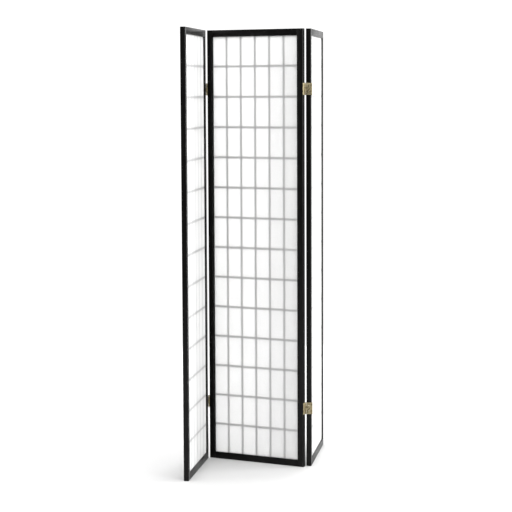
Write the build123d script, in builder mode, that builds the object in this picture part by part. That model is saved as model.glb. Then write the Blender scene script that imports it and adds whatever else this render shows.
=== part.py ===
from build123d import *

import os
from math import atan, cos, degrees, radians, sin

# A folding screen of three equal panels. Each panel is a black wooden frame with a lattice of thin bars
# and a sheet of paper on the front of the lattice. Two-way hinges join the panels: three leaves and two
# pins, so that a panel folds to the front about one pin and to the back about the other.
#
# Millimetres, +Z up. The origin is on the floor under the centre of the middle panel, whose width runs
# along X. -Y is the front. The outer panels stand at fold_angle from flat, the left one towards the
# front and the right one towards the back, so the right half turned by 180 degrees gives the left half.

# Panel frames
panel_width = 431.8
panel_height = 1784.35
frame_thickness = 20.0
stile_width = 25.5
rail_height = 27.6
fold_angle = 107.4

# Lattice
bar_width = 6.35
bar_depth = 8.0
bar_columns = 5
bar_rows = 13
bar_stub = 4.0  # how far each end of a bar is let into the frame
joint_clearance = 0.05  # round the stubs, the half laps, the dowels and the screws

# Paper
paper_thickness = 0.4
paper_edge = 3.0  # how far each edge of the paper runs into its kerf in the frame
paper_clearance = 0.1
paste_thickness = 0.05  # holds the paper to the lattice

# Dowels, two in each corner of a frame
dowel_radius = 3.2
dowel_length = 30.0
dowel_spacing = 13.0

# Hinges, two for each pair of panels
hinge_height = 48.0
hinge_inset = 241.3  # centre of a hinge from the nearer end of the panel
hinge_gap = 4.6  # between the edges of two panels
leaf_thickness = 1.2
leaf_setback = 1.0  # leaf's free edge from the face of the frame
knuckle_radius = 2.3
knuckle_face_gap = 0.3  # knuckle from the face of the frame
knuckle_play = 0.2  # between one knuckle and the next
knuckle_count = 3  # on each pin, in turn on a side leaf and on the centre leaf
pin_radius = 1.2
pin_clearance = 0.05
pin_head_radius = 1.9
pin_head_height = 0.8
pin_head_rounding = 0.5

# Countersunk wood screws, two in each side leaf, and the centre leaf's holes over them
screw_radius = 1.3
screw_length = 16.0
screw_tip_length = 2.5
screw_head_radius = 2.6
screw_head_height = 1.1
screw_rise = 11.0  # up and down from the hinge's centre
driver_clearance = 0.5  # round a screw's head in the centre leaf's hole

# Worked out from the sizes above
opening_width = panel_width - 2 * stile_width
opening_height = panel_height - 2 * rail_height
column_pitch = (opening_width + bar_width) / (bar_columns + 1)
row_pitch = (opening_height + bar_width) / (bar_rows + 1)
paper_plane = (bar_depth + paper_thickness) / 2 + paste_thickness
knuckle_pitch = (hinge_height + knuckle_play) / knuckle_count
knuckle_height = knuckle_pitch - knuckle_play
knuckle_levels = [(index - (knuckle_count - 1) / 2) * knuckle_pitch for index in range(knuckle_count)]
knuckle_centre = (
    -hinge_gap / 2 + (hinge_gap + leaf_thickness) / 4,  # midway between the two leaves on the pin
    frame_thickness / 2 + knuckle_radius + knuckle_face_gap,
)
bore_radius = pin_radius + pin_clearance
dowel_heights = [
    end * (panel_height - rail_height) / 2 + step * dowel_spacing / 2 for end in (-1, 1) for step in (-1, 1)
]
hinge_heights = {"lower": hinge_inset, "upper": panel_height - hinge_inset}
screw_head_angle = 2 * degrees(atan((screw_head_radius - screw_radius) / screw_head_height))
screw_places = [(0, -screw_rise), (0, screw_rise)]


def level_plane(origin, angle):
    """A plane that faces up, with its own X turned by angle degrees about +Z."""
    return Plane(origin=origin, x_dir=(cos(radians(angle)), sin(radians(angle)), 0), z_dir=(0, 0, 1))


def front_plane(panel):
    """The middle plane of a panel's frame, facing the front: X along the width, Y up."""
    return Plane(origin=panel.origin, x_dir=panel.x_dir, z_dir=-panel.y_dir)


def edge_plane(plane, offset):
    """A plane across a panel or a leaf at offset along its X: X through the thickness, Y up."""
    return Plane(origin=plane.from_local_coords((offset, 0, 0)), x_dir=plane.y_dir, z_dir=plane.x_dir)


def save(piece, label):
    """Names a finished piece and writes it as a STEP file of that name."""
    piece.part.label = label
    export_step(piece.part, f"parts/{label}.step")


def make_frame_member(panel, centre, width, height, leaves, label):
    """One stile or rail, with its sockets, kerf, dowel holes and, behind the leaves given, screw holes."""
    with BuildPart() as member:
        with BuildSketch(front_plane(panel)):
            with Locations(centre):
                Rectangle(width, height)
        extrude(amount=frame_thickness / 2, both=True)

        with BuildSketch(front_plane(panel)):
            with GridLocations(1, row_pitch, 1, bar_rows):
                Rectangle(opening_width + 2 * (bar_stub + joint_clearance), bar_width + 2 * joint_clearance)
            with GridLocations(column_pitch, 1, bar_columns, 1):
                Rectangle(bar_width + 2 * joint_clearance, opening_height + 2 * (bar_stub + joint_clearance))
        extrude(amount=bar_depth / 2 + joint_clearance, both=True, mode=Mode.SUBTRACT)

        with BuildSketch(front_plane(panel).offset(paper_plane)):
            Rectangle(
                opening_width + 2 * (paper_edge + paper_clearance),
                opening_height + 2 * (paper_edge + paper_clearance),
            )
        extrude(amount=paper_thickness / 2 + paper_clearance, both=True, mode=Mode.SUBTRACT)

        for side in (-1, 1):
            with BuildSketch(edge_plane(panel, side * opening_width / 2)):
                with Locations(*[(0, level) for level in dowel_heights]):
                    Circle(dowel_radius + joint_clearance)
            extrude(amount=dowel_length / 2 + joint_clearance, both=True, mode=Mode.SUBTRACT)

        for leaf in leaves:
            with BuildSketch(edge_plane(leaf, -hinge_gap / 2)):
                with Locations(*screw_places):
                    Circle(screw_radius + joint_clearance)
            extrude(amount=leaf_thickness - screw_length - joint_clearance, mode=Mode.SUBTRACT)
    save(member, label)


def make_dowels(panel, label):
    """The eight dowels that hold one frame's corners."""
    with BuildPart() as dowels:
        for side in (-1, 1):
            with BuildSketch(edge_plane(panel, side * opening_width / 2)):
                with Locations(*[(0, level) for level in dowel_heights]):
                    Circle(dowel_radius)
            extrude(amount=dowel_length / 2, both=True)
    save(dowels, label)


def make_cross_bars(panel, label):
    """The level bars of one lattice, half lapped over the uprights on the paper side."""
    with BuildPart() as bars:
        with BuildSketch(front_plane(panel)):
            with GridLocations(1, row_pitch, 1, bar_rows):
                Rectangle(opening_width + 2 * bar_stub, bar_width)
        extrude(amount=bar_depth / 2, both=True)
        with BuildSketch(front_plane(panel)):
            with GridLocations(column_pitch, row_pitch, bar_columns, bar_rows):
                Rectangle(bar_width + 2 * joint_clearance, 2 * bar_width)
        extrude(amount=-bar_depth / 2, mode=Mode.SUBTRACT)
    save(bars, label)


def make_upright_bars(panel, label):
    """The upright bars of one lattice, notched on the paper side where the level bars cross."""
    with BuildPart() as bars:
        with BuildSketch(front_plane(panel)):
            with GridLocations(column_pitch, 1, bar_columns, 1):
                Rectangle(bar_width, opening_height + 2 * bar_stub)
        extrude(amount=bar_depth / 2, both=True)
        with BuildSketch(front_plane(panel)):
            with GridLocations(column_pitch, row_pitch, bar_columns, bar_rows):
                Rectangle(2 * bar_width, bar_width + 2 * joint_clearance)
        extrude(amount=bar_depth / 2, mode=Mode.SUBTRACT)
    save(bars, label)


def make_paper(panel, label):
    """The sheet on the front of the lattice, with its edges in the frame's kerf."""
    with BuildPart() as paper:
        with BuildSketch(front_plane(panel).offset(paper_plane)):
            Rectangle(opening_width + 2 * paper_edge, opening_height + 2 * paper_edge)
        extrude(amount=paper_thickness / 2, both=True)
    save(paper, label)


def make_panel(panel, name, left_leaves, right_leaves):
    """All the wood and paper of one panel. Its stiles are bored behind the hinge leaves given."""
    stile_x = (panel_width - stile_width) / 2
    rail_z = (panel_height - rail_height) / 2
    stile = (stile_width, panel_height)
    rail = (opening_width, rail_height)
    make_frame_member(panel, (-stile_x, 0), *stile, left_leaves, f"{name}_left_stile")
    make_frame_member(panel, (stile_x, 0), *stile, right_leaves, f"{name}_right_stile")
    make_frame_member(panel, (0, rail_z), *rail, [], f"{name}_top_rail")
    make_frame_member(panel, (0, -rail_z), *rail, [], f"{name}_bottom_rail")
    make_dowels(panel, f"{name}_dowels")
    make_cross_bars(panel, f"{name}_cross_bars")
    make_upright_bars(panel, f"{name}_upright_bars")
    make_paper(panel, f"{name}_paper")


def make_side_leaf(leaf, label):
    """A leaf that is screwed to a panel's edge, with the outermost knuckles on its pin."""
    plate_depth = frame_thickness - leaf_setback
    plate_x = -(hinge_gap - leaf_thickness) / 2
    with BuildPart() as side_leaf:
        with BuildSketch(leaf):
            with Locations((plate_x, leaf_setback / 2)):
                Rectangle(leaf_thickness, plate_depth)
        extrude(amount=hinge_height / 2, both=True)
        for level in knuckle_levels[::2]:
            with BuildSketch(leaf.offset(level)):
                with Locations(knuckle_centre):
                    Circle(knuckle_radius)
                with Locations((plate_x, knuckle_centre[1] / 2)):
                    Rectangle(leaf_thickness, knuckle_centre[1])
            extrude(amount=knuckle_height / 2, both=True)
        with BuildSketch(leaf):
            with Locations(knuckle_centre):
                Circle(bore_radius)
        extrude(amount=hinge_height / 2, both=True, mode=Mode.SUBTRACT)
        with Locations(edge_plane(leaf, -hinge_gap / 2 + leaf_thickness)):
            with Locations(*screw_places):
                CounterSinkHole(
                    radius=screw_radius + joint_clearance,
                    counter_sink_radius=screw_head_radius + joint_clearance,
                    depth=leaf_thickness,
                    counter_sink_angle=screw_head_angle,
                )
    save(side_leaf, label)


def make_centre_leaf(leaf, label):
    """The leaf between two side leaves, with knuckles on both pins and a driver's hole over each screw."""
    with BuildPart() as centre_leaf:
        with BuildSketch(leaf):
            Rectangle(leaf_thickness, frame_thickness)
        extrude(amount=hinge_height / 2, both=True)
        for turn in (-1, 1):
            for level in knuckle_levels[1::2]:
                with BuildSketch(leaf.offset(level)):
                    with Locations((turn * knuckle_centre[0], turn * knuckle_centre[1])):
                        Circle(knuckle_radius)
                    with Locations((0, turn * knuckle_centre[1] / 2)):
                        Rectangle(leaf_thickness, knuckle_centre[1])
                extrude(amount=knuckle_height / 2, both=True)
            with BuildSketch(leaf):
                with Locations((turn * knuckle_centre[0], turn * knuckle_centre[1])):
                    Circle(bore_radius)
            extrude(amount=hinge_height / 2, both=True, mode=Mode.SUBTRACT)
        with BuildSketch(edge_plane(leaf, 0)):
            with Locations(*screw_places):
                Circle(screw_head_radius + driver_clearance)
        extrude(amount=leaf_thickness / 2, both=True, mode=Mode.SUBTRACT)
    save(centre_leaf, label)


def make_pin(leaf, label):
    """The pin of a side leaf, with a rounded head on each end."""
    with BuildPart() as pin:
        with BuildSketch(leaf):
            with Locations(knuckle_centre):
                Circle(pin_radius)
        extrude(amount=hinge_height / 2, both=True)
        for end in (-1, 1):
            with BuildSketch(leaf.offset(end * hinge_height / 2)):
                with Locations(knuckle_centre):
                    Circle(pin_head_radius)
            extrude(amount=end * pin_head_height)
        rims = pin.edges().filter_by(GeomType.CIRCLE).group_by(Axis.Z)
        fillet(rims[0] + rims[-1], radius=pin_head_rounding)
    save(pin, label)


def make_screws(leaf, label):
    """The two countersunk screws that hold a side leaf to its panel's edge."""
    shank_length = screw_length - screw_head_height - screw_tip_length
    hang_down = (Align.CENTER, Align.CENTER, Align.MAX)
    with BuildPart() as screws:
        with Locations(edge_plane(leaf, -hinge_gap / 2 + leaf_thickness)):
            with Locations(*screw_places):
                Cone(screw_radius, screw_head_radius, screw_head_height, align=hang_down)
        with Locations(edge_plane(leaf, -hinge_gap / 2 + leaf_thickness - screw_head_height)):
            with Locations(*screw_places):
                Cylinder(screw_radius, shank_length, align=hang_down)
        with Locations(edge_plane(leaf, -hinge_gap / 2 + leaf_thickness - screw_head_height - shank_length)):
            with Locations(*screw_places):
                Cone(0, screw_radius, screw_tip_length, align=hang_down)
    save(screws, label)


def make_hinge(middle_leaf, outer_leaf, name):
    """One two-way hinge, from the plane of the leaf on the middle panel and that of the leaf on the other."""
    for leaf, side in ((middle_leaf, "middle"), (outer_leaf, "outer")):
        make_side_leaf(leaf, f"{name}_{side}_leaf")
        make_pin(leaf, f"{name}_{side}_pin")
        make_screws(leaf, f"{name}_{side}_screws")
    make_centre_leaf(outer_leaf, f"{name}_centre_leaf")


os.makedirs("parts", exist_ok=True)

# A leaf's plane lies at its hinge's centre, midway between the edges of the two panels, and its X points
# away from the panel that the leaf is screwed to. On each side the pin of the middle panel's leaves is the
# one that stands open, so the centre leaves and the outer panel are turned about it by fold_angle.
edge_to_centre = (panel_width + hinge_gap) / 2
open_pin = level_plane((edge_to_centre + knuckle_centre[0], knuckle_centre[1], 0), fold_angle)
folded_hinge = open_pin.from_local_coords((-knuckle_centre[0], -knuckle_centre[1], 0))
folded_panel = level_plane(folded_hinge, fold_angle).from_local_coords((edge_to_centre, 0, 0))

middle_leaves = {}
outer_leaves = {}
outer_panels = {}
for side, half_turn in (("left", 180), ("right", 0)):
    half = level_plane((0, 0, 0), half_turn)
    middle_leaves[side] = []
    outer_leaves[side] = []
    for level, height in hinge_heights.items():
        middle_leaf = level_plane(half.from_local_coords((edge_to_centre, 0, height)), half_turn)
        outer_origin = half.from_local_coords((folded_hinge.X, folded_hinge.Y, height))
        outer_leaf = level_plane(outer_origin, half_turn + fold_angle + 180)
        make_hinge(middle_leaf, outer_leaf, f"{side}_{level}_hinge")
        middle_leaves[side].append(middle_leaf)
        outer_leaves[side].append(outer_leaf)
    panel_origin = half.from_local_coords((folded_panel.X, folded_panel.Y, panel_height / 2))
    outer_panels[side] = level_plane(panel_origin, fold_angle)

make_panel(outer_panels["left"], "left_panel", [], outer_leaves["left"])
middle_plane = level_plane((0, 0, panel_height / 2), 0)
make_panel(middle_plane, "middle_panel", middle_leaves["left"], middle_leaves["right"])
make_panel(outer_panels["right"], "right_panel", outer_leaves["right"], [])
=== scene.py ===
"""Looks for a three-panel folding screen: lacquered frames, paper over a bar lattice, brass hinges."""

import logging
import math
from dataclasses import dataclass, field
from enum import Enum

import bmesh
import bpy
from mathutils import Matrix, Vector


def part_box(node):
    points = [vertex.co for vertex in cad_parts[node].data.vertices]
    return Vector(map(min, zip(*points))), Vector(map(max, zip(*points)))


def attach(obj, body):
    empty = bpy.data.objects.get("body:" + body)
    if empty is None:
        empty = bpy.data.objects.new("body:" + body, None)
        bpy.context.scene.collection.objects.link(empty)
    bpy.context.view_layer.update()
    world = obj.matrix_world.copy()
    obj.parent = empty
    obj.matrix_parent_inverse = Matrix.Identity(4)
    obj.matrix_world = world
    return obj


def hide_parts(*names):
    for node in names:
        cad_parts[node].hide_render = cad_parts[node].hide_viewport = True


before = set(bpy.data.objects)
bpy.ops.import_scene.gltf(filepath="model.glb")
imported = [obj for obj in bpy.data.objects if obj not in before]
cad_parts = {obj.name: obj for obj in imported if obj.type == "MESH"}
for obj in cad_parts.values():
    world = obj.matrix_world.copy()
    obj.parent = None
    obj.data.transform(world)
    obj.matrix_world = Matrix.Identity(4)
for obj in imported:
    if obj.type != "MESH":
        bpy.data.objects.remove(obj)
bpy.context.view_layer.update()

MERGE_DISTANCE = 2e-6  # metres, for the loose corners of a CAD mesh
FLAT_ANGLE = math.radians(0.5)  # faces that meet at less than this are one face

logging.basicConfig(level=logging.INFO, format="%(levelname)s %(message)s")
log = logging.getLogger("folding_screen")

Colour = tuple[float, float, float]
Span = tuple[float, float]


class Slot(Enum):
    """The record's material slots, one named for each kind of new piece."""

    FRAME = "frame_lacquer"
    LATTICE = "lattice_lacquer"
    PAPER = "paper"
    LEAF = "hinge_leaves"
    SCREW = "hinge_screws"


class Grain(Enum):
    """Which way the wood's grain runs on a piece, as the axis of the panel that it follows."""

    UP = "up"
    ACROSS = "across"


class Position(Enum):
    """The three panels of the screen."""

    LEFT = "left_panel"
    MIDDLE = "middle_panel"
    RIGHT = "right_panel"


class Side(Enum):
    """The two sides of the middle panel that carry hinges."""

    LEFT = "left"
    RIGHT = "right"


class Level(Enum):
    """The two heights at which each pair of panels is hinged."""

    LOWER = "lower"
    UPPER = "upper"


# --- Shader graphs ---


class Graph:
    """A node tree under construction, with short ways to add and link nodes."""

    def __init__(self, tree: bpy.types.NodeTree) -> None:
        """Keeps the tree that the nodes go into.

        Args:
            tree: a material's, a world's or a group's node tree.
        """
        self.tree = tree

    def node(self, kind: str, **settings: object) -> bpy.types.Node:
        """Adds one node.

        Args:
            kind: the node's type name, such as "ShaderNodeTexNoise".
            settings: attributes of the node to set.

        Returns:
            The new node.
        """
        made = self.tree.nodes.new(kind)
        for name, value in settings.items():
            setattr(made, name, value)
        return made

    def link(self, source: bpy.types.NodeSocket, target: bpy.types.NodeSocket) -> None:
        """Links one socket to another."""
        self.tree.links.new(source, target)

    def feed(self, socket: bpy.types.NodeSocket, value: object) -> None:
        """Links a socket to another socket, or gives it a plain value.

        Args:
            socket: the input to fill.
            value: an output socket, a number, a vector or a colour.
        """
        if isinstance(value, bpy.types.NodeSocket):
            self.link(value, socket)
        else:
            socket.default_value = value

    def maths(
        self, operation: str, a: object, b: object = 0.0, c: float | None = None, clamp: bool = False
    ) -> bpy.types.NodeSocket:
        """One Math node.

        Args:
            operation: the node's operation.
            a: first input, a socket or a number.
            b: second input, a socket or a number.
            c: third input, for an operation that has one.
            clamp: whether the result is held between 0 and 1.

        Returns:
            The node's output.
        """
        made = self.node("ShaderNodeMath", operation=operation, use_clamp=clamp)
        self.feed(made.inputs[0], a)
        self.feed(made.inputs[1], b)
        if c is not None:
            made.inputs[2].default_value = c
        return made.outputs[0]

    def span(self, value: object, read: Span, result: Span = (0.0, 1.0)) -> bpy.types.NodeSocket:
        """One Map Range node, smooth and held at both ends.

        Args:
            value: the socket to map.
            read: the range that it reads.
            result: what the two ends of that range become.

        Returns:
            The mapped value.
        """
        made = self.node("ShaderNodeMapRange", interpolation_type="SMOOTHSTEP")
        self.feed(made.inputs["Value"], value)
        made.inputs["From Min"].default_value, made.inputs["From Max"].default_value = read
        made.inputs["To Min"].default_value, made.inputs["To Max"].default_value = result
        return made.outputs["Result"]

    def blend(self, share: object, a: object, b: object) -> bpy.types.NodeSocket:
        """One colour Mix node.

        Args:
            share: how much of b shows, a socket or a number.
            a: first colour.
            b: second colour.

        Returns:
            The mixed colour.
        """
        made = self.node("ShaderNodeMix", data_type="RGBA", blend_type="MIX")
        self.feed(made.inputs[0], share)
        self.feed(made.inputs[6], opaque(a))
        self.feed(made.inputs[7], opaque(b))
        return made.outputs[2]

    def tint(self, base: object, mask: object, share: float, colour: Colour) -> bpy.types.NodeSocket:
        """Lays a colour over another, as far as a share of a mask says."""
        return self.blend(self.maths("MULTIPLY", mask, share), base, colour)

    def noise(
        self, where: bpy.types.NodeSocket, scale: float, detail: float, rough: float
    ) -> bpy.types.NodeSocket:
        """One Noise Texture node.

        Args:
            where: the coordinates.
            scale: features per unit of the coordinates.
            detail: octaves.
            rough: how strong the finer octaves are.

        Returns:
            The noise's factor.
        """
        made = self.node("ShaderNodeTexNoise")
        self.link(where, made.inputs["Vector"])
        made.inputs["Scale"].default_value = scale
        made.inputs["Detail"].default_value = detail
        made.inputs["Roughness"].default_value = rough
        return made.outputs["Fac"]


def opaque(colour: object) -> object:
    """A plain colour with an alpha of 1, and a socket as it is."""
    if isinstance(colour, tuple) and len(colour) == 3:
        return (*colour, 1.0)
    return colour


class Effect:
    """A shader node group that several finishes share, built once."""

    name = "effect"
    numbers: dict[str, float] = {}
    outputs: dict[str, str] = {}

    def __init__(self) -> None:
        """Builds the group with its named inputs and outputs."""
        self.group = bpy.data.node_groups.new(self.name, "ShaderNodeTree")
        sockets = self.group.interface
        sockets.new_socket(name="Place", in_out="INPUT", socket_type="NodeSocketVector")
        for label, value in self.numbers.items():
            made = sockets.new_socket(name=label, in_out="INPUT", socket_type="NodeSocketFloat")
            made.default_value = value
        for label, kind in self.outputs.items():
            sockets.new_socket(name=label, in_out="OUTPUT", socket_type=kind)
        graph = Graph(self.group)
        start = graph.node("NodeGroupInput")
        end = graph.node("NodeGroupOutput")
        self.build(graph, start, end)

    def build(self, graph: Graph, start: bpy.types.Node, end: bpy.types.Node) -> None:
        """Adds the effect's nodes between the group's input and output.

        Args:
            graph: the group's graph.
            start: the group input node.
            end: the group output node.
        """
        raise NotImplementedError

    def place(self, graph: Graph, where: bpy.types.NodeSocket, **values: float) -> bpy.types.Node:
        """Puts the effect into a material.

        Args:
            graph: the material's graph.
            where: the coordinates it reads.
            values: the group's numbers by name, spaces written as underscores.

        Returns:
            The group node.
        """
        made = graph.node("ShaderNodeGroup", node_tree=self.group)
        graph.link(where, made.inputs["Place"])
        for label, value in values.items():
            made.inputs[label.replace("_", " ")].default_value = value
        return made


class WoodGrain(Effect):
    """Fine streaks along the grain that show through a thin lacquer, with open pores among them."""

    name = "wood_grain"
    numbers = {"Streaks": 420.0, "Stretch": 34.0, "Pores": 1500.0}
    outputs = {"Streak": "NodeSocketFloat", "Pore": "NodeSocketFloat", "Height": "NodeSocketFloat"}
    streak_read: Span = (0.34, 0.66)
    pore_read: Span = (0.12, 0.34)
    pore_depth = 0.8

    def build(self, graph: Graph, start: bpy.types.Node, end: bpy.types.Node) -> None:
        """Two noises squeezed across the grain: broad streaks and short dark pores."""
        squeeze = graph.node("ShaderNodeVectorMath", operation="DIVIDE")
        graph.link(start.outputs["Place"], squeeze.inputs[0])
        lengths = graph.node("ShaderNodeCombineXYZ")
        lengths.inputs["X"].default_value = 1.0
        lengths.inputs["Y"].default_value = 1.0
        graph.link(start.outputs["Stretch"], lengths.inputs["Z"])
        graph.link(lengths.outputs[0], squeeze.inputs[1])
        streaks = graph.node("ShaderNodeTexNoise")
        streaks.inputs["Detail"].default_value = 5.0
        streaks.inputs["Roughness"].default_value = 0.62
        streaks.inputs["Distortion"].default_value = 0.35
        graph.link(squeeze.outputs[0], streaks.inputs["Vector"])
        graph.link(start.outputs["Streaks"], streaks.inputs["Scale"])
        pores = graph.node("ShaderNodeTexVoronoi", feature="F1")
        graph.link(squeeze.outputs[0], pores.inputs["Vector"])
        graph.link(start.outputs["Pores"], pores.inputs["Scale"])
        streak = graph.span(streaks.outputs["Fac"], self.streak_read)
        pore = graph.span(pores.outputs["Distance"], self.pore_read, (1.0, 0.0))
        height = graph.maths("SUBTRACT", streak, graph.maths("MULTIPLY", pore, self.pore_depth))
        graph.link(streak, end.inputs["Streak"])
        graph.link(pore, end.inputs["Pore"])
        graph.link(height, end.inputs["Height"])


class EdgeWear(Effect):
    """Where a sharp arris has been rubbed, broken up so that it isn't an even line."""

    name = "edge_wear"
    numbers = {"Width": 0.0015, "Patches": 60.0, "Least": 0.08}
    outputs = {"Worn": "NodeSocketFloat"}
    turn_read: Span = (0.02, 0.22)
    patch_read: Span = (0.45, 0.68)

    def build(self, graph: Graph, start: bpy.types.Node, end: bpy.types.Node) -> None:
        """Compares the bevelled normal with the true one and multiplies it by patches of noise."""
        bevel = graph.node("ShaderNodeBevel", samples=6)
        graph.link(start.outputs["Width"], bevel.inputs["Radius"])
        true = graph.node("ShaderNodeNewGeometry")
        agree = graph.node("ShaderNodeVectorMath", operation="DOT_PRODUCT")
        graph.link(bevel.outputs["Normal"], agree.inputs[0])
        graph.link(true.outputs["Normal"], agree.inputs[1])
        turned = graph.maths("SUBTRACT", 1.0, agree.outputs["Value"], clamp=True)
        edge = graph.span(turned, self.turn_read)
        patches = graph.node("ShaderNodeTexNoise")
        patches.inputs["Detail"].default_value = 4.0
        graph.link(start.outputs["Place"], patches.inputs["Vector"])
        graph.link(start.outputs["Patches"], patches.inputs["Scale"])
        spread = graph.span(patches.outputs["Fac"], self.patch_read)
        kept = graph.maths("MAXIMUM", spread, start.outputs["Least"])
        graph.link(graph.maths("MULTIPLY", edge, kept), end.inputs["Worn"])


class Handling(Effect):
    """Soft cloudy marks of handling and settled dust, which vary how shiny a surface is."""

    name = "handling"
    numbers = {"Clouds": 9.0, "Specks": 900.0}
    outputs = {"Cloud": "NodeSocketFloat", "Speck": "NodeSocketFloat"}
    cloud_read: Span = (0.35, 0.65)
    speck_read: Span = (0.6, 0.75)

    def build(self, graph: Graph, start: bpy.types.Node, end: bpy.types.Node) -> None:
        """Wide clouds and fine specks of noise."""
        clouds = graph.node("ShaderNodeTexNoise")
        clouds.inputs["Detail"].default_value = 4.0
        graph.link(start.outputs["Place"], clouds.inputs["Vector"])
        graph.link(start.outputs["Clouds"], clouds.inputs["Scale"])
        specks = graph.node("ShaderNodeTexNoise")
        specks.inputs["Detail"].default_value = 1.0
        graph.link(start.outputs["Place"], specks.inputs["Vector"])
        graph.link(start.outputs["Specks"], specks.inputs["Scale"])
        graph.link(graph.span(clouds.outputs["Fac"], self.cloud_read), end.inputs["Cloud"])
        graph.link(graph.span(specks.outputs["Fac"], self.speck_read), end.inputs["Speck"])


@dataclass(frozen=True)
class Effects:
    """The shared node groups, built once for all finishes."""

    grain: WoodGrain
    wear: EdgeWear
    handling: Handling

    @classmethod
    def build(cls) -> "Effects":
        """Builds the three groups."""
        return cls(WoodGrain(), EdgeWear(), Handling())


# --- Where things are ---


def middle_of(node: str) -> Vector:
    """The middle of a CAD node's box."""
    low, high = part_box(node)
    return (low + high) / 2


@dataclass(frozen=True)
class Placement:
    """A panel's or leaf's own place: its middle, and the directions of its width and its thickness."""

    middle: Vector
    along: Vector

    @property
    def through(self) -> Vector:
        """The direction through the thickness, away from the papered side."""
        return Vector((0, 0, 1)).cross(self.along).normalized()

    def matrix(self) -> Matrix:
        """From the panel's own axes (width, thickness, height) to the row's."""
        turned = Matrix((self.along, self.through, Vector((0, 0, 1)))).transposed().to_4x4()
        return Matrix.Translation(self.middle) @ turned

    def angle(self) -> float:
        """The turn about the upright axis, in radians."""
        return math.atan2(self.along.y, self.along.x)

    @classmethod
    def of_panel(cls, panel: Position) -> "Placement":
        """Works a panel's place out from its two stiles.

        Args:
            panel: which panel.

        Returns:
            Its place.
        """
        left = middle_of(f"{panel.value}_left_stile")
        right = middle_of(f"{panel.value}_right_stile")
        return cls((left + right) / 2, (right - left).normalized())


# --- Finishes ---


class Finish:
    """A material under construction: its graph, its Principled shader and its coordinates."""

    def __init__(self, name: str) -> None:
        """Makes an empty material with one Principled shader.

        Args:
            name: the material's name.
        """
        self.material = bpy.data.materials.new(name)
        self.material.use_nodes = True
        self.material.node_tree.nodes.clear()
        self.graph = Graph(self.material.node_tree)
        self.shader = self.graph.node("ShaderNodeBsdfPrincipled")
        self.output = self.graph.node("ShaderNodeOutputMaterial")
        self.graph.link(self.shader.outputs["BSDF"], self.output.inputs["Surface"])

    def set(self, **values: object) -> None:
        """Fills the shader's sockets, named with underscores for spaces."""
        for label, value in values.items():
            self.graph.feed(self.shader.inputs[label.replace("_", " ")], opaque(value))

    def own_place(self, placement: Placement, grain: Grain = Grain.UP) -> bpy.types.NodeSocket:
        """Coordinates in a panel's own axes, centred on it, with the grain along Z.

        Args:
            placement: the panel's place.
            grain: which way the grain runs.

        Returns:
            The coordinates.
        """
        source = self.graph.node("ShaderNodeTexCoord")
        shift = self.graph.node("ShaderNodeVectorMath", operation="SUBTRACT")
        self.graph.link(source.outputs["Object"], shift.inputs[0])
        shift.inputs[1].default_value = placement.middle
        turn = self.graph.node("ShaderNodeMapping", vector_type="POINT")
        turn.inputs["Rotation"].default_value = (0, 0, -placement.angle())
        self.graph.link(shift.outputs[0], turn.inputs["Vector"])
        if grain is Grain.UP:
            return turn.outputs["Vector"]
        lay = self.graph.node("ShaderNodeMapping", vector_type="POINT")
        lay.inputs["Rotation"].default_value = (0, math.pi / 2, 0)
        self.graph.link(turn.outputs["Vector"], lay.inputs["Vector"])
        return lay.outputs["Vector"]

    def bump(self, height: object, strength: float, distance: float) -> bpy.types.NodeSocket:
        """A Bump node.

        Args:
            height: what it reads.
            strength: how strong it is.
            distance: how deep, in metres.

        Returns:
            Its normal.
        """
        made = self.graph.node("ShaderNodeBump")
        made.inputs["Strength"].default_value = strength
        made.inputs["Distance"].default_value = distance
        self.graph.feed(made.inputs["Height"], height)
        return made.outputs["Normal"]


@dataclass(frozen=True)
class Lacquer:
    """Black satin lacquer over wood, thin enough for the grain to show."""

    name: str
    deep: Colour = (0.0016, 0.0015, 0.0014)
    lifted: Colour = (0.0046, 0.0043, 0.0040)
    rubbed: Colour = (0.014, 0.012, 0.010)
    gloss: float = 0.29
    streaks: float = 420.0
    shine: float = 0.16
    wear_width: float = 0.0012
    pore_darkening: float = 0.5
    cloud_dulling: float = 0.07
    pore_dulling: float = 0.10
    speck_dulling: float = 0.10
    relief: float = 0.35
    relief_depth: float = 0.00012

    def make(self, effects: Effects, placement: Placement, grain: Grain) -> bpy.types.Material:
        """Builds the material for pieces of one panel whose grain runs one way.

        Args:
            effects: the shared groups.
            placement: the panel's place.
            grain: which way the grain runs.

        Returns:
            The material.
        """
        finish = Finish(self.name)
        graph = finish.graph
        where = finish.own_place(placement, grain)
        wood = effects.grain.place(graph, where, Streaks=self.streaks)
        wear = effects.wear.place(graph, where, Width=self.wear_width)
        marks = effects.handling.place(graph, where)
        base = graph.blend(wood.outputs["Streak"], self.deep, self.lifted)
        base = graph.tint(base, wood.outputs["Pore"], self.pore_darkening, self.deep)
        base = graph.blend(wear.outputs["Worn"], base, self.rubbed)
        clouds = graph.maths("MULTIPLY", marks.outputs["Cloud"], self.cloud_dulling)
        pores = graph.maths("MULTIPLY", wood.outputs["Pore"], self.pore_dulling)
        specks = graph.maths("MULTIPLY", marks.outputs["Speck"], self.speck_dulling)
        rough = graph.maths("ADD", self.gloss, clouds)
        rough = graph.maths("ADD", rough, pores)
        rough = graph.maths("ADD", rough, specks, clamp=True)
        finish.set(
            Base_Color=base,
            Roughness=rough,
            Specular_IOR_Level=self.shine,
            Normal=finish.bump(wood.outputs["Height"], self.relief, self.relief_depth),
        )
        return finish.material


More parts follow.
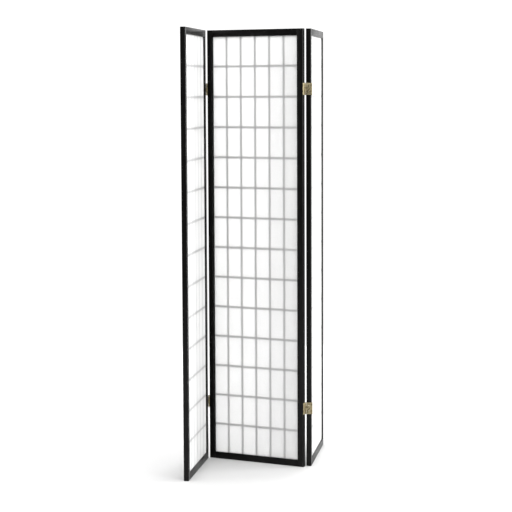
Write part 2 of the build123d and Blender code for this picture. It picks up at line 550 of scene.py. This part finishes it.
@dataclass(frozen=True)
class DowelWood:
    """Bare beech, as the dowels in the corner joints are."""

    name: str
    pale: Colour = (0.50, 0.33, 0.19)
    dark: Colour = (0.36, 0.22, 0.12)
    streaks: float = 700.0
    stretch: float = 22.0
    pore_darkening: float = 0.6
    roughness: Span = (0.72, 0.58)
    relief: float = 0.4
    relief_depth: float = 0.0001

    def make(self, effects: Effects, placement: Placement) -> bpy.types.Material:
        """Builds the material for one panel's dowels.

        Args:
            effects: the shared groups.
            placement: the panel's place.

        Returns:
            The material.
        """
        finish = Finish(self.name)
        graph = finish.graph
        where = finish.own_place(placement, Grain.ACROSS)
        wood = effects.grain.place(graph, where, Streaks=self.streaks, Stretch=self.stretch)
        base = graph.blend(wood.outputs["Streak"], self.dark, self.pale)
        base = graph.tint(base, wood.outputs["Pore"], self.pore_darkening, self.dark)
        rough = graph.span(wood.outputs["Streak"], (0.0, 1.0), self.roughness)
        normal = finish.bump(wood.outputs["Height"], self.relief, self.relief_depth)
        finish.set(Base_Color=base, Roughness=rough, Normal=normal)
        return finish.material


@dataclass(frozen=True)
class Lattice:
    """The layout of one panel's bars, which the paper is pasted to."""

    columns: int = 5
    rows: int = 13
    bar_width: float = 0.00635
    opening: tuple[float, float] = (0.3808, 1.72915)

    @property
    def column_pitch(self) -> float:
        """From one upright to the next."""
        return (self.opening[0] + self.bar_width) / (self.columns + 1)

    @property
    def row_pitch(self) -> float:
        """From one level bar to the next."""
        return (self.opening[1] + self.bar_width) / (self.rows + 1)


@dataclass(frozen=True)
class ScreenPaper:
    """White fibre paper that lets light through, with painted shade of the black bars behind it as soft grey
    lines over each bar.
    """

    name: str
    lattice: Lattice
    sheet: Colour = (0.94, 0.94, 0.938)
    bar_shade_level: Colour = (0.66, 0.66, 0.66)
    bar_shade_upright: Colour = (0.68, 0.68, 0.68)
    fibre: Colour = (0.85, 0.85, 0.845)
    through: float = 0.46
    shine: float = 0.25
    mottle_scale: float = 260.0
    fibre_scale: float = 900.0
    fibre_squash: float = 0.25
    mottle_share: float = 0.35
    fibre_share: float = 0.45
    cloud_share: float = 0.10
    bar_shade_share: float = 0.75
    bar_shade_edge: Span = (0.45, 2.5)
    clouds: float = 5.0
    roughness: Span = (0.74, 0.92)
    fibre_relief: float = 0.7
    relief: float = 0.22
    relief_depth: float = 0.00015

    def stripe(
        self, graph: Graph, place: bpy.types.NodeSocket, pitch: float, even: bool
    ) -> bpy.types.NodeSocket:
        """A soft-edged line of painted bar shade over each bar of one direction.

        Args:
            graph: the material's graph.
            place: the coordinate across the bars, 0 in the middle of the panel.
            pitch: from bar to bar.
            even: whether the panel's middle lies between two bars rather than on one.

        Returns:
            1 over a bar and 0 between bars.
        """
        shifted = graph.maths("ADD", place, pitch / 2 if even else 0.0)
        cell = graph.maths("WRAP", shifted, pitch / 2, -pitch / 2)
        off = graph.maths("ABSOLUTE", cell)
        half = self.lattice.bar_width / 2
        inner, outer = self.bar_shade_edge
        return graph.span(off, (half * inner, half * outer), (1.0, 0.0))

    def make(self, effects: Effects, placement: Placement) -> bpy.types.Material:
        """Builds the material for one panel's sheet.

        Args:
            effects: the shared groups.
            placement: the panel's place.

        Returns:
            The material.
        """
        finish = Finish(self.name)
        graph = finish.graph
        where = finish.own_place(placement)
        parts = graph.node("ShaderNodeSeparateXYZ")
        graph.link(where, parts.inputs[0])
        bars = self.lattice
        upright = self.stripe(graph, parts.outputs["X"], bars.column_pitch, bars.columns % 2 == 0)
        level = self.stripe(graph, parts.outputs["Z"], bars.row_pitch, bars.rows % 2 == 0)

        mottle = graph.noise(where, self.mottle_scale, 5.0, 0.6)
        flatten = graph.node("ShaderNodeVectorMath", operation="MULTIPLY")
        flatten.inputs[1].default_value = (self.fibre_squash, 1.0, 1.0)
        graph.link(where, flatten.inputs[0])
        long_fibres = graph.noise(flatten.outputs[0], self.fibre_scale, 2.0, 0.5)
        fibres = graph.span(long_fibres, (0.60, 0.74))
        marks = effects.handling.place(graph, where, Clouds=self.clouds)

        base = graph.blend(graph.span(mottle, (0.4, 0.7), (0.0, self.mottle_share)), self.sheet, self.fibre)
        base = graph.tint(base, fibres, self.fibre_share, self.fibre)
        base = graph.tint(base, marks.outputs["Cloud"], self.cloud_share, self.fibre)
        # Painted shade: the bars' shadows through the paper are darkened into the sheet's colour as grey
        # lines over the uprights and the level bars.
        base = graph.tint(base, upright, self.bar_shade_share, self.bar_shade_upright)
        base = graph.tint(base, level, self.bar_shade_share, self.bar_shade_level)
        relief = graph.maths("ADD", graph.maths("MULTIPLY", fibres, self.fibre_relief), mottle)
        normal = finish.bump(relief, self.relief, self.relief_depth)
        finish.set(
            Base_Color=base,
            Roughness=graph.span(mottle, (0.3, 0.7), self.roughness),
            Specular_IOR_Level=self.shine,
            Normal=normal,
        )
        glow = graph.node("ShaderNodeBsdfTranslucent")
        graph.link(base, glow.inputs["Color"])
        graph.link(normal, glow.inputs["Normal"])
        mix = graph.node("ShaderNodeMixShader")
        mix.inputs["Fac"].default_value = self.through
        graph.link(finish.shader.outputs["BSDF"], mix.inputs[1])
        graph.link(glow.outputs["BSDF"], mix.inputs[2])
        graph.link(mix.outputs["Shader"], finish.output.inputs["Surface"])
        return finish.material


@dataclass(frozen=True)
class Metal:
    """Plated metal with a brushed surface, tarnish in cloudy patches and specks, and bright rubbed edges."""

    name: str
    bright: Colour
    tarnish: Colour
    edge: Colour
    gloss: float = 0.46
    tarnished: float = 0.45
    brush: float = 2600.0
    brush_squash: float = 0.06
    wear_width: float = 0.0006
    wear_patches: float = 300.0
    least_wear: float = 0.35
    clouds: float = 130.0
    specks: float = 1900.0
    speck_tarnish: float = 0.6
    cloud_dulling: float = 0.16
    brush_dulling: float = 0.10
    relief: float = 0.3
    relief_depth: float = 0.00004

    def make(self, effects: Effects, placement: Placement) -> bpy.types.Material:
        """Builds the material for pieces at one hinge.

        Args:
            effects: the shared groups.
            placement: the hinge's place.

        Returns:
            The material.
        """
        finish = Finish(self.name)
        graph = finish.graph
        where = finish.own_place(placement)
        wear = effects.wear.place(
            graph, where, Width=self.wear_width, Patches=self.wear_patches, Least=self.least_wear
        )
        marks = effects.handling.place(graph, where, Clouds=self.clouds, Specks=self.specks)
        squeeze = graph.node("ShaderNodeVectorMath", operation="MULTIPLY")
        squeeze.inputs[1].default_value = (1.0, self.brush_squash, 1.0)
        graph.link(where, squeeze.inputs[0])
        brushed = graph.noise(squeeze.outputs[0], self.brush, 2.0, 0.6)
        base = graph.tint(self.bright, marks.outputs["Cloud"], self.tarnished, self.tarnish)
        base = graph.tint(base, marks.outputs["Speck"], self.speck_tarnish, self.tarnish)
        base = graph.blend(wear.outputs["Worn"], base, self.edge)
        dulled = graph.maths("MULTIPLY", marks.outputs["Cloud"], self.cloud_dulling)
        rough = graph.maths("ADD", self.gloss, dulled)
        rough = graph.maths("ADD", rough, graph.maths("MULTIPLY", brushed, self.brush_dulling), clamp=True)
        normal = finish.bump(brushed, self.relief, self.relief_depth)
        finish.set(Base_Color=base, Roughness=rough, Metallic=1.0, Normal=normal)
        return finish.material


BRASS = Metal(
    "brushed_brass",
    bright=(0.50, 0.435, 0.275),
    tarnish=(0.135, 0.110, 0.062),
    edge=(0.64, 0.57, 0.39),
    tarnished=0.75,
)
PIN_BRASS = Metal(
    "turned_brass",
    bright=(0.44, 0.39, 0.26),
    tarnish=(0.14, 0.115, 0.07),
    edge=(0.60, 0.54, 0.40),
    gloss=0.34,
    brush=3400.0,
)
SCREW_BRASS = Metal(
    "bright_screw_brass",
    bright=(0.74, 0.69, 0.54),
    tarnish=(0.32, 0.27, 0.18),
    edge=(0.90, 0.86, 0.72),
    gloss=0.2,
    tarnished=0.3,
)


# --- Meshes ---


def new_object(bm: bmesh.types.BMesh, name: str) -> bpy.types.Object:
    """An object in the scene with a bmesh as its mesh.

    Args:
        bm: its mesh, which is freed.
        name: its name.

    Returns:
        The object.
    """
    mesh = bpy.data.meshes.new(name)
    bm.to_mesh(mesh)
    bm.free()
    made = bpy.data.objects.new(name, mesh)
    bpy.context.scene.collection.objects.link(made)
    return made


def clean_copy(node: str) -> bmesh.types.BMesh:
    """A CAD node's mesh with its loose triangles merged and its flat faces made whole.

    Args:
        node: the node's name.

    Returns:
        A new bmesh.
    """
    bm = bmesh.new()
    bm.from_mesh(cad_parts[node].data)
    bmesh.ops.remove_doubles(bm, verts=bm.verts[:], dist=MERGE_DISTANCE)
    bmesh.ops.dissolve_limit(
        bm,
        angle_limit=FLAT_ANGLE,
        use_dissolve_boundaries=False,
        verts=bm.verts[:],
        edges=bm.edges[:],
        delimit={"NORMAL"},
    )
    return bm


def round_edges(bm: bmesh.types.BMesh, edges: list[bmesh.types.BMEdge], width: float, segments: int) -> None:
    """Bevels the edges given.

    Args:
        bm: the mesh.
        edges: which edges.
        width: how wide.
        segments: how many steps.
    """
    if edges:
        bmesh.ops.bevel(
            bm,
            geom=edges,
            offset=width,
            offset_type="OFFSET",
            segments=segments,
            profile=0.5,
            affect="EDGES",
            clamp_overlap=True,
            material=-1,
        )


def sharp_edges(
    bm: bmesh.types.BMesh, least_length: float, least_angle: float = 40.0
) -> list[bmesh.types.BMEdge]:
    """Outward edges that are sharp and long enough to round.

    Args:
        bm: the mesh.
        least_length: in metres.
        least_angle: in degrees.

    Returns:
        The edges.
    """
    found = []
    for edge in bm.edges:
        if len(edge.link_faces) == 2 and edge.is_convex and edge.calc_length() >= least_length:
            if edge.calc_face_angle(0.0) >= math.radians(least_angle):
                found.append(edge)
    return found


def finished_object(
    bm: bmesh.types.BMesh, name: str, material: bpy.types.Material, smooth_under: float = 35.0
) -> bpy.types.Object:
    """Makes an object at the origin from a bmesh, smooth where its faces meet at small angles.

    Args:
        bm: the mesh, which is freed.
        name: the object's name.
        material: its finish.
        smooth_under: the largest angle shaded smooth, in degrees.

    Returns:
        The object.
    """
    for face in bm.faces:
        face.smooth = True
    for edge in bm.edges:
        edge.smooth = len(edge.link_faces) == 2 and edge.calc_face_angle(0.0) < math.radians(smooth_under)
    made = new_object(bm, name)
    made.data.materials.append(material)
    return made


def install(piece: bpy.types.Object, body: str, slot: Slot, *nodes: str) -> bpy.types.Object:
    """Puts a finished piece on its body, in place of its CAD nodes.

    Args:
        piece: the object.
        body: the CAD body that it rides on.
        slot: not used.
        nodes: the CAD nodes that it stands for.

    Returns:
        The piece.
    """
    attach(piece, body)
    if nodes:
        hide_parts(*nodes)
    log.info("%s rides on %s for %s, %d faces", piece.name, body, ", ".join(nodes), len(piece.data.polygons))
    return piece


def dress_node(node: str, material: bpy.types.Material) -> None:
    """Gives a CAD node that stays a finish.

    Args:
        node: the node's name.
        material: its finish.
    """
    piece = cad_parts[node]
    if piece.material_slots:
        for place in piece.material_slots:
            place.link = "OBJECT"
            place.material = material
    else:
        piece.data.materials.append(material)
    log.info("%s keeps its shape and is dressed in %s", node, material.name)


# --- Sub-assemblies ---


@dataclass
class Panel:
    """One framed panel: two stiles, two rails, dowels, a lattice of bars and a sheet of paper."""

    position: Position
    effects: Effects
    lattice: Lattice = field(default_factory=Lattice)
    arris: float = 0.0008
    least_arris_length: float = 0.018
    bar_arris: float = 0.00035
    least_bar_edge: float = 0.030
    bar_edge_angle: float = 60.0
    flat_within: float = 5e-5
    paper_cell: float = 0.0085
    paper_swell: float = 0.00022

    @property
    def name(self) -> str:
        """The start of this panel's node names, and its body."""
        return self.position.value

    def build(self) -> None:
        """Makes and dresses every piece of the panel."""
        place = Placement.of_panel(self.position)
        frame_finish = Lacquer(f"{self.name}_frame_lacquer")
        lattice_finish = Lacquer(f"{self.name}_bar_lacquer", gloss=0.42, streaks=900.0)
        up = frame_finish.make(self.effects, place, Grain.UP)
        across = frame_finish.make(self.effects, place, Grain.ACROSS)
        for side in ("left", "right"):
            self.frame_member(f"{self.name}_{side}_stile", up)
        for end in ("top", "bottom"):
            self.frame_member(f"{self.name}_{end}_rail", across)
        self.bars(f"{self.name}_upright_bars", lattice_finish.make(self.effects, place, Grain.UP))
        self.bars(f"{self.name}_cross_bars", lattice_finish.make(self.effects, place, Grain.ACROSS))
        dress_node(f"{self.name}_dowels", DowelWood(f"{self.name}_beech").make(self.effects, place))
        self.paper(place)

    def frame_member(self, node: str, material: bpy.types.Material) -> None:
        """A stile or rail with softened arrises.

        Args:
            node: the CAD node that it stands for.
            material: its finish.
        """
        bm = clean_copy(node)
        arrises = [edge for edge in sharp_edges(bm, self.least_arris_length) if self.is_outer(edge, bm)]
        round_edges(bm, arrises, self.arris, 3)
        install(finished_object(bm, f"{node}_wood", material), self.name, Slot.FRAME, node)

    def is_outer(self, edge: bmesh.types.BMEdge, bm: bmesh.types.BMesh) -> bool:
        """Whether an edge is an arris of the member and not of a socket in it.

        Args:
            edge: the edge.
            bm: its mesh.

        Returns:
            True if no part of the member lies beyond either face that meets there.
        """
        start = edge.verts[0].co
        return all(
            face.normal.dot(vert.co - start) < self.flat_within
            for face in edge.link_faces
            for vert in bm.verts
        )

    def bars(self, node: str, material: bpy.types.Material) -> None:
        """The level or upright bars, with eased edges between their laps.

        Args:
            node: the CAD node that they stand for.
            material: their finish.
        """
        bm = clean_copy(node)
        round_edges(bm, sharp_edges(bm, self.least_bar_edge, self.bar_edge_angle), self.bar_arris, 2)
        install(finished_object(bm, f"{node}_wood", material), self.name, Slot.LATTICE, node)

    def paper(self, place: Placement) -> None:
        """The sheet, pasted to the bars and swelling slightly off them in each light.

        Args:
            place: the panel's place.
        """
        node = f"{self.name}_paper"
        sheet_place = Placement(middle_of(node), place.along)
        low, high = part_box(node)
        height = high.z - low.z
        flat_x, flat_y = abs(place.along.x), abs(place.along.y)
        span_x, span_y = high.x - low.x, high.y - low.y
        thickness = (span_y * flat_x - span_x * flat_y) / (flat_x**2 - flat_y**2)
        width = (span_x * flat_x - span_y * flat_y) / (flat_x**2 - flat_y**2)
        bm = bmesh.new()
        columns, rows = round(width / self.paper_cell), round(height / self.paper_cell)
        bmesh.ops.create_grid(bm, x_segments=columns, y_segments=rows, size=0.5)
        bmesh.ops.scale(bm, vec=(width, height, 1), verts=bm.verts[:])
        bmesh.ops.rotate(bm, cent=(0, 0, 0), matrix=Matrix.Rotation(math.pi / 2, 3, "X"), verts=bm.verts[:])
        for vert in bm.verts:
            vert.co.y = -thickness / 2 - self.swell(vert.co.x, vert.co.z)
        bmesh.ops.solidify(bm, geom=bm.faces[:], thickness=thickness)
        bmesh.ops.recalc_face_normals(bm, faces=bm.faces[:])
        depths = [vert.co.y * 1000 for vert in bm.verts]
        log.info("%s lies from %.2f to %.2f mm about its own middle", node, min(depths), max(depths))
        bmesh.ops.transform(bm, matrix=sheet_place.matrix(), verts=bm.verts[:])
        material = ScreenPaper(f"{self.name}_paper", self.lattice).make(self.effects, place)
        install(finished_object(bm, f"{node}_sheet", material, 50.0), self.name, Slot.PAPER, node)
        sizes = (width * 1000, height * 1000, thickness * 1000)
        log.info("%s is %.1f by %.1f mm and %.2f mm thick", node, *sizes)

    def swell(self, x: float, z: float) -> float:
        """How far the paper stands off the bars' plane.

        Args:
            x: across the panel, 0 in its middle.
            z: up the panel, 0 in its middle.

        Returns:
            The distance, in metres.
        """
        if abs(x) > self.lattice.opening[0] / 2 or abs(z) > self.lattice.opening[1] / 2:
            return 0.0
        across = math.sin(math.pi * (x / self.lattice.column_pitch))
        up = math.sin(math.pi * (z / self.lattice.row_pitch))
        column = math.floor(x / self.lattice.column_pitch)
        row = math.floor(z / self.lattice.row_pitch)
        uneven = 0.6 + 0.4 * math.sin(2.3 * column + 1.7 * row)
        return self.paper_swell * abs(across * up) * uneven


@dataclass
class Screw:
    """One countersunk wood screw: head with a cross recess, shank and tip."""

    head_radius: float = 0.0026
    head_height: float = 0.0011
    shank_radius: float = 0.0013
    length: float = 0.016
    tip_length: float = 0.0025
    recess_length: float = 0.0030
    recess_width: float = 0.00062
    recess_depth: float = 0.00055
    rim_edge: float = 0.00012
    sides: int = 28

    def mesh(self) -> bpy.types.Mesh:
        """Builds one screw, its head's top at the origin and its tip down -Z.

        Returns:
            The mesh.
        """
        bm = bmesh.new()
        rim = self.head_radius
        steps = [
            (0.0, 0.0),
            (rim - self.rim_edge, 0.0),
            (rim, -self.rim_edge),
            (self.shank_radius, -self.head_height),
            (self.shank_radius, -(self.length - self.tip_length)),
            (0.0, -self.length),
        ]
        profile = [bm.verts.new((radius, 0, z)) for radius, z in steps]
        edges = [bm.edges.new(pair) for pair in zip(profile, profile[1:])]
        bmesh.ops.spin(
            bm,
            geom=profile + edges,
            cent=(0, 0, 0),
            axis=(0, 0, 1),
            angle=math.tau,
            steps=self.sides,
            use_merge=True,
            use_duplicate=False,
        )
        bmesh.ops.remove_doubles(bm, verts=bm.verts[:], dist=1e-6)
        bmesh.ops.recalc_face_normals(bm, faces=bm.faces[:])
        body = new_object(bm, "screw_body")
        cutter = bmesh.new()
        for turn in (0.0, math.pi / 2):
            arm = bmesh.ops.create_cube(cutter, size=1.0)["verts"]
            arm_size = (self.recess_length, self.recess_width, self.recess_depth * 2)
            bmesh.ops.scale(cutter, vec=arm_size, verts=arm)
            bmesh.ops.rotate(cutter, cent=(0, 0, 0), matrix=Matrix.Rotation(turn, 3, "Z"), verts=arm)
        tool = new_object(cutter, "screw_cutter")
        cut = body.modifiers.new("recess", "BOOLEAN")
        cut.operation = "DIFFERENCE"
        cut.solver = "EXACT"
        cut.use_self = True
        cut.object = tool
        graph = bpy.context.evaluated_depsgraph_get()
        mesh = bpy.data.meshes.new_from_object(body.evaluated_get(graph))
        for made in (body, tool):
            bpy.data.objects.remove(made)
        return mesh


@dataclass
class Hinge:
    """One two-way hinge: a leaf on each panel's edge, a leaf between them, two pins and four screws."""

    side: Side
    level: Level
    effects: Effects
    screw: bpy.types.Mesh
    edge: float = 0.00018
    least_leaf_edge: float = 0.0045
    leaf_edge_angle: float = 70.0
    head_within: float = 1e-5
    turns: tuple[float, ...] = (0.35, 1.1)

    @property
    def name(self) -> str:
        """The start of this hinge's node names."""
        return f"{self.side.value}_{self.level.value}_hinge"

    def build(self) -> None:
        """Makes and dresses every piece of the hinge."""
        middle_place = Placement(middle_of(f"{self.name}_middle_leaf"), Vector((1, 0, 0)))
        outer_along = Placement.of_panel(Position(f"{self.side.value}_panel")).along
        outer_place = Placement(middle_of(f"{self.name}_outer_leaf"), outer_along)
        centre_place = Placement(middle_of(f"{self.name}_centre_leaf"), outer_along)
        outer_body = f"{self.side.value}_panel"
        self.leaf("middle_leaf", "middle_panel", middle_place)
        self.leaf("outer_leaf", outer_body, outer_place)
        self.leaf("centre_leaf", f"{self.side.value}_centre_leaves", centre_place)
        for part, place in (("middle", middle_place), ("outer", outer_place)):
            dress_node(f"{self.name}_{part}_pin", PIN_BRASS.make(self.effects, place))
        self.screws("middle", "middle_panel", middle_place)
        self.screws("outer", outer_body, outer_place)

    def leaf(self, part: str, body: str, place: Placement) -> None:
        """One leaf with its knuckles, its edges eased.

        Args:
            part: which leaf.
            body: the body that it rides on.
            place: the leaf's place.
        """
        node = f"{self.name}_{part}"
        bm = clean_copy(node)
        round_edges(bm, sharp_edges(bm, self.least_leaf_edge, self.leaf_edge_angle), self.edge, 2)
        made = finished_object(bm, f"{node}_brass", BRASS.make(self.effects, place))
        install(made, body, Slot.LEAF, node)

    def screws(self, part: str, body: str, place: Placement) -> None:
        """The two screws of one side leaf, each with its recess at its own angle.

        Args:
            part: "middle" or "outer".
            body: the body that they ride on.
            place: their leaf's place.
        """
        node = f"{self.name}_{part}_screws"
        panel = Placement.of_panel(Position(body))
        copy = clean_copy(node)
        outward = self.outward(node, panel)
        bm = bmesh.new()
        for shell, turn in zip(self.shells(copy), self.turns):
            furthest = max(outward.dot(vert.co) for vert in shell)
            rim = [vert.co for vert in shell if outward.dot(vert.co) > furthest - self.head_within]
            head = sum(rim, Vector()) / len(rim)
            aim = Vector((0, 0, 1)).rotation_difference(outward).to_matrix().to_4x4()
            before = len(bm.verts)
            bm.from_mesh(self.screw)
            bm.verts.ensure_lookup_table()
            placed = Matrix.Translation(head) @ aim @ Matrix.Rotation(turn, 4, "Z")
            bmesh.ops.transform(bm, matrix=placed, verts=bm.verts[before:])
        copy.free()
        made = finished_object(bm, f"{node}_brass", SCREW_BRASS.make(self.effects, place), 30.0)
        install(made, body, Slot.SCREW, node)

    def outward(self, node: str, panel: Placement) -> Vector:
        """Which way the screws' heads face: along the panel, away from its middle."""
        return panel.along * math.copysign(1.0, (middle_of(node) - panel.middle).dot(panel.along))

    def shells(self, bm: bmesh.types.BMesh) -> list[list[bmesh.types.BMVert]]:
        """The separate closed shells of a mesh, lowest first.

        Args:
            bm: the mesh.

        Returns:
            The vertices of each shell.
        """
        left = set(bm.verts)
        found = []
        while left:
            stack = [left.pop()]
            shell = []
            while stack:
                vert = stack.pop()
                shell.append(vert)
                for edge in vert.link_edges:
                    other = edge.other_vert(vert)
                    if other in left:
                        left.remove(other)
                        stack.append(other)
            found.append(shell)
        return sorted(found, key=lambda verts: min(v.co.z for v in verts))


# --- Studio ---


@dataclass
class SoftBox:
    """A large soft light."""

    name: str
    place: tuple[float, float, float]
    aim: tuple[float, float, float]
    size: tuple[float, float]
    watts: float
    mirrored: bool = True

    def build(self) -> None:
        """Adds the light."""
        data = bpy.data.lights.new(self.name, "AREA")
        data.shape = "RECTANGLE"
        data.size, data.size_y = self.size
        data.energy = self.watts
        made = bpy.data.objects.new(self.name, data)
        bpy.context.scene.collection.objects.link(made)
        made.location = self.place
        made.rotation_euler = (Vector(self.aim) - Vector(self.place)).to_track_quat("-Z", "Y").to_euler()
        made.visible_camera = False
        made.visible_glossy = self.mirrored


@dataclass
class Studio:
    """The camera, the floor, the white surroundings and the lights."""

    camera_place: tuple[float, float, float] = (3.0335, -6.1317, 1.5406)
    yaw: float = 0.4595
    pitch: float = -0.0991
    roll: float = -0.0044
    lens: float = 117.58
    sensor: float = 36.0
    floor_radius: float = 3.2
    floor_sides: int = 96
    floor_grey: float = 0.56
    floor_roughness: float = 0.9
    floor_shine: float = 0.1
    backdrop: float = 1.15
    surroundings: float = 1.30
    camera_side: float = 0.10
    back_read: Span = (-0.55, 0.15)
    top_read: Span = (0.25, 0.8)
    boxes: tuple[SoftBox, ...] = (
        SoftBox("overhead_box", (0.3, -1.0, 4.6), (0, 0, 0.6), (4.0, 4.0), 130.0),
        SoftBox("left_box", (-4.6, -2.6, 2.6), (0, 0, 0.9), (2.2, 2.6), 106.0),
        SoftBox("right_box", (4.8, -1.4, 2.4), (0, 0, 0.9), (2.2, 2.6), 76.0),
        SoftBox("back_box", (4.1, 2.7, 2.2), (0, 0, 0.9), (1.15, 2.8), 120.0),
        SoftBox("rear_box", (-0.3, 4.6, 2.2), (0, 0, 0.9), (3.0, 3.0), 235.0, mirrored=False),
    )

    def build(self) -> None:
        """Builds all of it."""
        self.camera()
        self.world()
        self.floor()
        for box in self.boxes:
            box.build()
        bpy.context.scene.view_settings.view_transform = "Standard"

    def camera(self) -> None:
        """Adds the camera and makes it the scene's."""
        level_share = math.cos(self.pitch)
        forward = Vector(
            (-math.sin(self.yaw) * level_share, math.cos(self.yaw) * level_share, math.sin(self.pitch))
        )
        right = forward.cross(Vector((0, 0, 1))).normalized()
        up = right.cross(forward)
        level = math.cos(self.roll) * right + math.sin(self.roll) * up
        tall = -math.sin(self.roll) * right + math.cos(self.roll) * up
        data = bpy.data.cameras.new("camera")
        data.lens = self.lens
        data.sensor_width = self.sensor
        data.clip_end = 200.0
        made = bpy.data.objects.new("camera", data)
        bpy.context.scene.collection.objects.link(made)
        axes = Matrix((level, tall, -forward)).transposed().to_4x4()
        made.matrix_world = Matrix.Translation(self.camera_place) @ axes
        bpy.context.scene.camera = made

    def world(self) -> None:
        """White all round for the camera, and dimmer towards the camera's side in reflections."""
        world = bpy.data.worlds.new("studio_white")
        bpy.context.scene.world = world
        world.use_nodes = True
        world.node_tree.nodes.clear()
        graph = Graph(world.node_tree)
        place = graph.node("ShaderNodeTexCoord")
        parts = graph.node("ShaderNodeSeparateXYZ")
        graph.link(place.outputs["Generated"], parts.inputs[0])
        back = graph.span(parts.outputs["Y"], self.back_read, (self.camera_side, self.surroundings))
        top = graph.span(parts.outputs["Z"], self.top_read)
        lit = graph.maths("MAXIMUM", back, graph.maths("MULTIPLY", top, self.surroundings))
        seen = graph.node("ShaderNodeLightPath")
        strength = graph.node("ShaderNodeMix", data_type="FLOAT")
        graph.link(seen.outputs["Is Camera Ray"], strength.inputs[0])
        graph.link(lit, strength.inputs[2])
        strength.inputs[3].default_value = self.backdrop
        shader = graph.node("ShaderNodeBackground")
        shader.inputs["Color"].default_value = (1, 1, 1, 1)
        graph.link(strength.outputs[0], shader.inputs["Strength"])
        output = graph.node("ShaderNodeOutputWorld")
        graph.link(shader.outputs[0], output.inputs["Surface"])

    def floor(self) -> None:
        """A round pale floor, far wider than the screen."""
        bm = bmesh.new()
        bmesh.ops.create_circle(bm, cap_ends=True, segments=self.floor_sides, radius=self.floor_radius)
        made = new_object(bm, "floor")
        finish = Finish("pale_floor")
        finish.set(
            Base_Color=(self.floor_grey,) * 3,
            Roughness=self.floor_roughness,
            Specular_IOR_Level=self.floor_shine,
        )
        made.data.materials.append(finish.material)


def main() -> None:
    """Builds the studio, the three panels and the four hinges."""
    Studio().build()
    effects = Effects.build()
    for position in Position:
        Panel(position, effects).build()
        log.info("%s is built", position.value)
    screw = Screw().mesh()
    for side in Side:
        for level in Level:
            Hinge(side, level, effects, screw).build()
            log.info("%s %s hinge is built", side.value, level.value)


if __name__ == "__main__":
    main()
